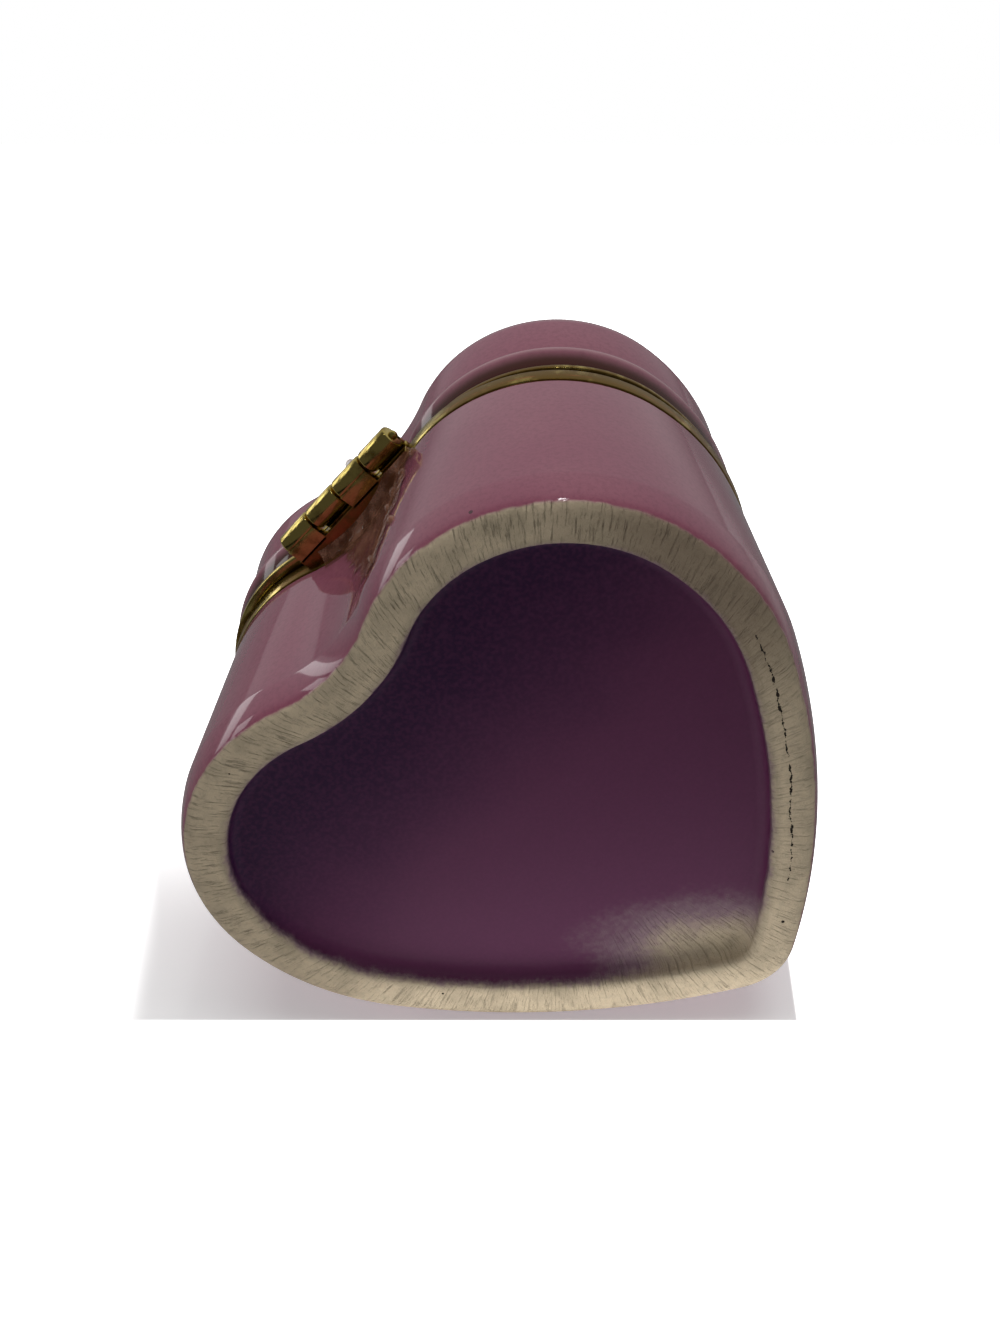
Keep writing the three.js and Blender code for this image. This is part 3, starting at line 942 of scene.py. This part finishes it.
@dataclass
class HingeLayout:
    """Where the hinge's axis, knuckles and plates lie, read from the frame's joint and boxes."""

    axis: Vector
    start: float
    length: float
    knuckles: int = 4
    radius: float = 1.05 * MM
    gap: float = 0.2 * MM
    swing_clearance: float = 0.25 * MM

    @property
    def plate_edge(self) -> float:
        """Gives the place of the plates' outer edge along Y."""
        return self.axis.y - self.radius - self.swing_clearance

    def spans(self, side: Side) -> list[tuple[float, float]]:
        """Gives the start and the length of each knuckle of one half.

        Args:
            side: The half whose knuckles are wanted.

        Returns:
            Pairs of start and length along X.
        """
        pitch = self.length / self.knuckles
        first = 0 if side is Side.LID else 1
        return [
            (self.start + i * pitch + self.gap / 2, pitch - self.gap) for i in range(first, self.knuckles, 2)
        ]

    def barrel(self, bm: bmesh.types.BMesh, span: tuple[float, float], radius: float, sides: int) -> list:
        """Adds a round barrel along the axis.

        Args:
            bm: The mesh that receives it.
            span: Its start and its length along X.
            radius: Its radius.
            sides: How many sides it has.

        Returns:
            The edges round its two ends.
        """
        start, length = span
        centre = Vector((start + length / 2, self.axis.y, self.axis.z))
        placing = Matrix.Translation(centre) @ Matrix.Rotation(math.pi / 2, 4, "Y")
        round_it = {"radius1": radius, "radius2": radius, "depth": length, "matrix": placing}
        made = bmesh.ops.create_cone(bm, cap_ends=True, segments=sides, **round_it)
        edges = {edge for vert in made["verts"] for edge in vert.link_edges}
        return [edge for edge in edges if abs(edge.verts[0].co.x - edge.verts[1].co.x) < MERGE]


@dataclass
class BrassRim:
    """One brass rim with its plate across the cleft, its leaves and its knuckles."""

    outline: HeartOutline
    hinge: HingeLayout
    side: Side
    base: float
    height: float
    plate_low: float
    plate_high: float
    offset: float
    width: float = 1.9 * MM
    edge: float = 0.15 * MM
    plate_inset: float = 2.1 * MM
    knuckle_edge: float = 0.16 * MM

    def bar(self, bm: bmesh.types.BMesh, low: Vector, high: Vector, edge: float) -> None:
        """Adds a block between two corners with rounded edges.

        Args:
            bm: The mesh that receives it.
            low: Its lowest corner.
            high: Its highest corner.
            edge: How far its edges are rounded.
        """
        size = high - low
        placing = Matrix.Translation((low + high) / 2) @ Matrix.Diagonal((*size, 1.0))
        verts = bmesh.ops.create_cube(bm, size=1.0, matrix=placing)["verts"]
        edges = list({edge for vert in verts for edge in vert.link_edges})
        bmesh.ops.bevel(bm, geom=edges, offset=edge, affect="EDGES", segments=2, profile=0.5, material=-1)

    def knuckle(self, bm: bmesh.types.BMesh, start: float, length: float) -> None:
        """Adds one knuckle, a round barrel along X with eased ends."""
        ends = self.hinge.barrel(bm, (start, length), self.hinge.radius - 0.01 * MM, 48)
        bmesh.ops.bevel(
            bm, geom=ends, offset=self.knuckle_edge, affect="EDGES", segments=3, profile=0.5, material=-1
        )

    def build(self, finish: bpy.types.Material) -> bpy.types.Object:
        """Builds the rim, which stands for its CAD node.

        Args:
            finish: The brass.

        Returns:
            The piece.
        """
        bm = bmesh.new()
        middle = self.offset - self.width / 2
        half = self.width / 2
        inner = (middle - half + self.edge, middle + half - self.edge)
        top = self.base + self.height - self.edge
        ring = [
            *corner(inner[1], top, self.edge, self.edge, 0, 90, 3),
            *corner(inner[0], top, self.edge, self.edge, 90, 180, 3),
            *corner(inner[0], self.base + self.edge, self.edge, self.edge, 180, 270, 3),
            *corner(inner[1], self.base + self.edge, self.edge, self.edge, 270, 360, 3),
        ]
        self.outline.sweep(bm, ring, closed=True)
        (LID_SEAT if self.side is Side.LID else BOX_SEAT).settle(bm, self.outline)
        hinge = self.hinge
        lift = 0.01 * MM
        plate_start = hinge.plate_edge - self.plate_inset
        low = Vector((hinge.start, plate_start, self.plate_low + lift))
        high = Vector((hinge.start + hinge.length, hinge.plate_edge, self.plate_high - lift))
        self.bar(bm, low, high, self.edge / 2)
        for start, length in hinge.spans(self.side):
            leaf_low = Vector((start, hinge.plate_edge - self.edge * 2, self.plate_low + lift))
            leaf_high = Vector((start + length, hinge.axis.y, self.plate_high - lift))
            self.bar(bm, leaf_low, leaf_high, self.edge / 3)
            self.knuckle(bm, start, length)
        name = f"brass_rim_{self.side.value}"
        node = "body_rim" if self.side is Side.BOX else "lid_rim"
        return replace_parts(place_piece(name, bm, finish, self.side), node)


@dataclass
class HingePin:
    """The pin through the knuckles, with domed ends."""

    hinge: HingeLayout
    radius: float = 0.39 * MM
    overhang: float = 0.3 * MM
    dome: float = 0.25 * MM

    def build(self, finish: bpy.types.Material) -> bpy.types.Object:
        """Builds the pin, which stands for its CAD node."""
        bm = bmesh.new()
        hinge = self.hinge
        span = (hinge.start - self.overhang, hinge.length + 2 * self.overhang)
        ends = hinge.barrel(bm, span, self.radius, 32)
        bmesh.ops.bevel(bm, geom=ends, offset=self.dome, affect="EDGES", segments=4, profile=0.5, material=-1)
        piece = place_piece("brass_pin", bm, finish, Side.BOX)
        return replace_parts(piece, "hinge_pin")


@dataclass(frozen=True)
class Drop:
    """A drop of glue on the wall: its bearing about the lobe at -X, its height and its size."""

    bearing: float
    z: float
    size: float


@dataclass
class SqueezedGlue:
    """The glue squeezed out round the plate: a film down the cleft, a fillet under the plate and drops."""

    outline: HeartOutline
    body: CeramicBox
    hinge: HingeLayout
    plate_low: float
    film: float = 0.12 * MM
    fillet_drop: float = 2.2 * MM
    fillet_reach: float = 1.1 * MM
    reach: tuple[float, float] = (-12 * MM, 4 * MM)
    lowest: float = 4.5 * MM
    drops: tuple[Drop, ...] = (
        Drop(85, 20.2 * MM, 0.36 * MM),
        Drop(80, 18.6 * MM, 0.34 * MM),
        Drop(77, 16.6 * MM, 0.42 * MM),
        Drop(75, 14.8 * MM, 0.30 * MM),
        Drop(83, 9.4 * MM, 0.36 * MM),
        Drop(76, 6.1 * MM, 0.32 * MM),
        Drop(72, 8.0 * MM, 0.28 * MM),
    )

    def keep_cleft(self, bm: bmesh.types.BMesh) -> None:
        """Cuts away everything that lies beyond the reach along X or in front of the cleft."""
        back = self.outline.middle + Vector((0, 20 * MM, 0))
        for place, away in (
            (Vector((self.reach[0], 0, 0)), Vector((-1, 0, 0))),
            (Vector((self.reach[1], 0, 0)), Vector((1, 0, 0))),
            (back, Vector((0, -1, 0))),
        ):
            clear_beyond(bm, place, away)

    def build_film(self, finish: bpy.types.Material) -> None:
        """Builds the film on the wall, as a thin closed shell."""
        top = self.body.height - 0.3 * MM
        steps = 16
        levels = [self.lowest + (top - self.lowest) * step / steps for step in range(steps + 1)]
        skin = [(self.body.wall_offset(z) + self.film, z) for z in levels]
        root = [(self.body.wall_offset(z) - self.film / 2, z) for z in reversed(levels)]
        bm = bmesh.new()
        self.outline.sweep(bm, skin + root, closed=True)
        self.keep_cleft(bm)
        bmesh.ops.holes_fill(bm, edges=[edge for edge in bm.edges if edge.is_boundary])
        place_piece("glue_film", bm, finish, Side.BOX, sharp_angle=1.0)

    def build_fillet(self, finish: bpy.types.Material) -> None:
        """Builds the hollow fillet in the corner between the plate and the wall."""
        rim = -self.body.mouth_taper
        drop = self.plate_low - self.fillet_drop
        curve = corner(rim + self.fillet_reach, drop, self.fillet_reach, self.fillet_drop, 180, 96, 8)
        inner = rim - 0.1 * MM
        bm = bmesh.new()
        self.outline.sweep(bm, [*curve, (inner, self.plate_low), (inner, drop)], closed=True)
        self.keep_cleft(bm)
        for place, away in (
            (Vector((self.hinge.start - 0.5 * MM, 0, 0)), Vector((-1, 0, 0))),
            (Vector((0, self.hinge.plate_edge, 0)), Vector((0, 1, 0))),
        ):
            clear_beyond(bm, place, away)
        bmesh.ops.holes_fill(bm, edges=[edge for edge in bm.edges if edge.is_boundary])
        place_piece("glue_fillet", bm, finish, Side.BOX, sharp_angle=1.0)

    def build_drops(self, finish: bpy.types.Material) -> None:
        """Builds the drops at the film's edge and one more on the hinge's barrel."""
        outline = self.outline
        bm = bmesh.new()
        for drop in self.drops:
            bearing = math.radians(drop.bearing)
            reach = outline.lobe_radius + self.body.wall_offset(drop.z)
            away = Vector((math.cos(bearing), math.sin(bearing), 0))
            lobe = Vector((outline.lobe_radius - outline.width / 2, outline.lobe_level, drop.z))
            size = Matrix.Diagonal((drop.size, drop.size, 1.6 * drop.size, 1.0))
            placing = Matrix.Translation(lobe + away * reach) @ size
            bmesh.ops.create_icosphere(bm, subdivisions=3, radius=1.0, matrix=placing)
        axis = self.hinge.axis
        crumb = Vector((self.hinge.start + 4.6 * MM, axis.y + 0.92 * MM, axis.z + 0.5 * MM))
        placing = Matrix.Translation(crumb) @ Matrix.Diagonal((0.45 * MM, 0.3 * MM, 0.3 * MM, 1.0))
        bmesh.ops.create_icosphere(bm, subdivisions=3, radius=1.0, matrix=placing)
        place_piece("glue_drops", bm, finish, Side.BOX, sharp_angle=3.0)

    def build(self) -> None:
        """Builds all the glue."""
        film, thick = AmberGlue().build(), AmberGlue().build_thick()
        self.build_film(film)
        self.build_fillet(thick)
        self.build_drops(thick)


@dataclass(frozen=True)
class Viewpoint:
    """The photograph's camera, in the box's frame."""

    eye: Vector = Vector((-70.909, 67.035, -115.806)) * MM
    ahead: Vector = Vector((0.43628, -0.37923, 0.81599))
    side: Vector = Vector((-0.65148, -0.75865, -0.00425))
    focal_pixels: float = 1943.84
    image_height: float = 1333.0
    sensor: float = 36.0

    def build(self) -> bpy.types.Object:
        """Builds the camera and makes it the scene's."""
        data = bpy.data.cameras.new("camera")
        data.sensor_width = self.sensor
        data.lens = self.focal_pixels / self.image_height * self.sensor
        data.clip_start = 1 * MM
        camera = bpy.data.objects.new("camera", data)
        back = -self.ahead.normalized()
        right = (self.side - back * self.side.dot(back)).normalized()
        turn = Matrix((right, back.cross(right), back)).transposed()
        camera.matrix_world = Matrix.Translation(self.eye) @ turn.to_4x4()
        bpy.context.scene.collection.objects.link(camera)
        bpy.context.scene.camera = camera
        return camera


@dataclass
class Studio:
    """The pale table that the box's flank lies on, the soft lights and the white surroundings."""

    frame: dict
    viewpoint: Viewpoint
    flank_lean: float = math.radians(6.1)
    centre: Vector = field(default_factory=lambda: Vector((0, 0, 18 * MM)))
    table_depth: tuple[float, float] = (-0.16, 0.12)
    table_width: float = 0.44
    mirrored_share: float = 0.35
    shadow_front: float = -0.4 * MM
    shadow_right: float = 20.6 * MM
    shadow_left: float = -33 * MM
    shadow_depth: float = 42 * MM
    shadow_lift: float = 0.27
    sky: float = 0.42
    front_sky: float = 0.06
    ground: float = 0.02

    def up(self) -> Vector:
        """Gives the direction that is up in the photograph, square to the table."""
        side = self.viewpoint.side
        outwards = Vector((-side.y, side.x, 0)).normalized()
        lean = self.flank_lean
        return -(outwards * math.cos(lean) + Vector((0, 0, math.sin(lean))))

    def near(self) -> Vector:
        """Gives the level direction towards the camera, square to the picture's width."""
        return self.viewpoint.side.cross(self.up()).normalized()

    def table_level(self) -> float:
        """Gives how far up the table lies, just under the lowest point of the box."""
        up = self.up()
        return min(v.co.dot(up) for node in self.frame["nodes"].values() for v in node.data.vertices)

    def foot_front(self) -> Vector:
        """Gives the place on the table in front of which nothing of the box stands."""
        up, near = self.up(), self.near()
        reach = max(v.co.dot(near) for v in self.frame["nodes"]["box_body"].data.vertices if v.co.z < 1 * MM)
        side = up.cross(near)
        return up * self.table_level() + near * reach + side * self.centre.dot(side)

    def build_table(self) -> None:
        """Lays the table under the lowest point of the box. It ends a little way in front of the box."""
        up, near = self.up(), self.near()
        back, front = self.table_depth
        bm = bmesh.new()
        size = Matrix.Diagonal((self.table_width, front - back, 1.0, 1.0))
        turn = Matrix((near.cross(up), near, up)).transposed().to_4x4()
        place = Matrix.Translation(self.foot_front() + near * (back + front) / 2)
        bmesh.ops.create_grid(bm, x_segments=1, y_segments=1, size=0.5, matrix=place @ turn @ size)
        mesh = bpy.data.meshes.new("table")
        bm.to_mesh(mesh)
        bm.free()
        table = bpy.data.objects.new("table", mesh)
        bpy.context.scene.collection.objects.link(table)
        mesh.materials.append(self.table_finish())

    def table_finish(self) -> bpy.types.Material:
        """Builds the table's white paper, which the camera sees only from above and no light is stopped by.

        Returns:
            The material. Its reflections are dimmed, and dimmer still towards the front.
        """
        material = bpy.data.materials.new("white_paper")
        material.use_nodes = True
        graph = Graph(material.node_tree)
        material.node_tree.nodes.clear()
        path = graph.node("ShaderNodeLightPath")
        facing = graph.node("ShaderNodeNewGeometry").outputs["Backfacing"]
        place = graph.node("ShaderNodeTexCoord").outputs["Object"]
        forward = graph.along(place, self.near())
        across = graph.along(place, self.viewpoint.side)
        line = self.foot_front().dot(self.near())
        lit = graph.ease(across, 50 * MM, 90 * MM, self.mirrored_share, 0.8)
        faded = graph.math("MULTIPLY", lit, graph.ease(forward, line - 20 * MM, line + 90 * MM, 1.0, 0.0))
        dimmed = graph.math("MULTIPLY", path.outputs["Is Glossy Ray"], graph.math("SUBTRACT", 1.0, faded))
        shade = graph.math("MULTIPLY", graph.math("SUBTRACT", 1.0, dimmed), 0.9)
        colour = graph.node("ShaderNodeCombineColor", {0: shade, 1: shade, 2: shade}).outputs[0]
        paper = graph.node("ShaderNodeBsdfDiffuse", {"Color": colour})
        clear = graph.node("ShaderNodeBsdfTransparent")
        front = line + self.shadow_front
        ahead = graph.ease(forward, front, front + 0.4 * MM)
        beside = graph.ease(across, self.shadow_right, self.shadow_right + 0.5 * MM)
        behind = graph.ease(forward, line - self.shadow_depth, line - 4 * MM, 1.0, 0.0)
        far = graph.ease(across, self.shadow_left - 6 * MM, self.shadow_left, 1.0, 0.0)
        beyond = graph.math("MAXIMUM", behind, far)
        outside = graph.math("MAXIMUM", graph.math("MAXIMUM", ahead, beside), beyond)
        glow = graph.ease(outside, 0.0, 1.0, self.shadow_lift, 1.5)
        seen = graph.math("MULTIPLY", path.outputs["Is Camera Ray"], glow)
        lift = graph.node("ShaderNodeEmission", {"Strength": seen})
        lifted = graph.node("ShaderNodeAddShader", {0: paper.outputs[0], 1: lift.outputs[0]})
        behind_it = graph.math("MULTIPLY", path.outputs["Is Camera Ray"], facing)
        hidden = graph.math("MAXIMUM", behind_it, path.outputs["Is Shadow Ray"])
        mixed = graph.node("ShaderNodeMixShader", {0: hidden, 1: lifted.outputs[0], 2: clear.outputs[0]})
        graph.node("ShaderNodeOutputMaterial", {"Surface": mixed.outputs[0]})
        return material

    def build_surroundings(self) -> None:
        """Makes the world white to the camera, and as a light soft above, dim in front and dark below."""
        world = bpy.data.worlds.new("surroundings")
        bpy.context.scene.world = world
        world.use_nodes = True
        graph = Graph(world.node_tree)
        world.node_tree.nodes.clear()
        direction = graph.node("ShaderNodeTexCoord").outputs["Generated"]
        height = graph.along(direction, self.up())
        front = graph.along(direction, self.near())
        dome = graph.ease(front, -0.7, -0.3, self.sky, self.front_sky)
        above = graph.ease(height, -0.4, -0.1)
        light = graph.math("ADD", graph.math("MULTIPLY", dome, above), self.ground)
        path = graph.node("ShaderNodeLightPath").outputs["Is Camera Ray"]
        strength = graph.math("MAXIMUM", path, light)
        white = graph.node("ShaderNodeBackground", {"Color": (1.0, 1.0, 1.0, 1.0), "Strength": strength})
        graph.node("ShaderNodeOutputWorld", {"Surface": white.outputs[0]})

    def light(
        self,
        name: str,
        place: Vector,
        size: tuple[float, float],
        power: float,
        aim: Vector | None = None,
        mirrored: bool = False,
    ) -> None:
        """Adds a soft rectangular light, which the camera doesn't see.

        Args:
            name: The light's name.
            place: Where it hangs.
            size: Its width and height.
            power: Its power in watts.
            aim: The direction it shines in, or None for straight at the box.
            mirrored: Whether glossy surfaces mirror it.
        """
        data = bpy.data.lights.new(name, "AREA")
        data.shape = "RECTANGLE"
        data.size, data.size_y = size
        data.energy = power
        lamp = bpy.data.objects.new(name, data)
        lamp.location = place
        lamp.rotation_mode = "QUATERNION"
        lamp.rotation_quaternion = (aim or self.centre - place).to_track_quat("-Z", "Y")
        lamp.visible_camera = False
        lamp.visible_glossy = mirrored
        bpy.context.scene.collection.objects.link(lamp)

    def build(self) -> None:
        """Builds table, surroundings and lights, and asks for plain colours."""
        self.build_table()
        self.build_surroundings()
        up, near = self.up(), self.near()
        side = self.viewpoint.side.normalized()
        self.light("overhead", self.centre + up * 0.40 - near * 0.08, (0.45, 0.30), 0.9)
        window = self.centre - side * 0.35 - near * 0.23 + up * 0.01
        self.light("left_window", window, (0.06, 0.29), 0.085, mirrored=True)
        sheen = self.centre - side * 0.36 - near * 0.14 + up * 0.1
        self.light("hinge_sheen", sheen, (0.06, 0.14), 0.055, mirrored=True)
        self.light("glint", self.centre + up * 0.4 - near * 0.1, (0.02, 0.03), 0.05, mirrored=True)
        strip = self.foot_front() + near * 9 * MM + up * 0.5 * MM + side * 6 * MM
        self.light("table_glow", strip, (0.045, 0.016), 0.0042, aim=up)
        self.light("front_fill", self.centre + near * 0.4 + up * 0.24 - side * 0.1, (0.2, 0.15), 0.26)
        self.light("under_fill", self.centre - up * 0.4 - near * 0.1, (0.4, 0.3), 0.8)
        bpy.context.scene.view_settings.view_transform = "Standard"


def main() -> None:
    """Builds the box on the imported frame, and the studio round it."""
    logging.basicConfig(level=logging.INFO, format="%(name)s: %(message)s")
    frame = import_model()
    body_low, body_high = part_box("box_body")
    lid_low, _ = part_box("lid_shell")
    pin_low, pin_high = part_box("hinge_pin")
    swell = CeramicBox.belly_swell
    outline = HeartOutline(lobe_level=body_low.y + swell + HeartOutline.length - HeartOutline.lobe_radius)
    overhang = HingePin.overhang
    axis = Vector(frame["joints"][0]["pos_m"])
    hinge = HingeLayout(axis, pin_low.x + overhang, pin_high.x - pin_low.x - 2 * overhang)
    effects = Effects()
    seam = 0.3 * MM
    lid_rim_height = 0.6 * MM
    plate = 1.0 * MM
    rim_top = lid_low.z - lid_rim_height - seam
    brass = PolishedBrass(plate_low=rim_top - plate, plate_edge=hinge.plate_edge).build(effects)
    body = CeramicBox(outline, height=body_high.z)
    body.build(effects)
    CeramicLid(outline, base=lid_low.z).build(effects)
    BrassRim(
        outline,
        hinge,
        Side.BOX,
        base=body_high.z,
        height=rim_top - body_high.z,
        plate_low=rim_top - plate,
        plate_high=rim_top,
        offset=-CeramicBox.mouth_taper,
    ).build(brass)
    BrassRim(
        outline,
        hinge,
        Side.LID,
        base=rim_top + seam,
        height=lid_rim_height,
        plate_low=rim_top + seam,
        plate_high=lid_low.z,
        offset=CeramicLid.bead_swell - CeramicLid.inset,
    ).build(brass)
    HingePin(hinge).build(brass)
    SqueezedGlue(outline, body, hinge, plate_low=rim_top - plate).build()
    viewpoint = Viewpoint()
    viewpoint.build()
    Studio(frame, viewpoint).build()


if __name__ == "__main__":
    main()
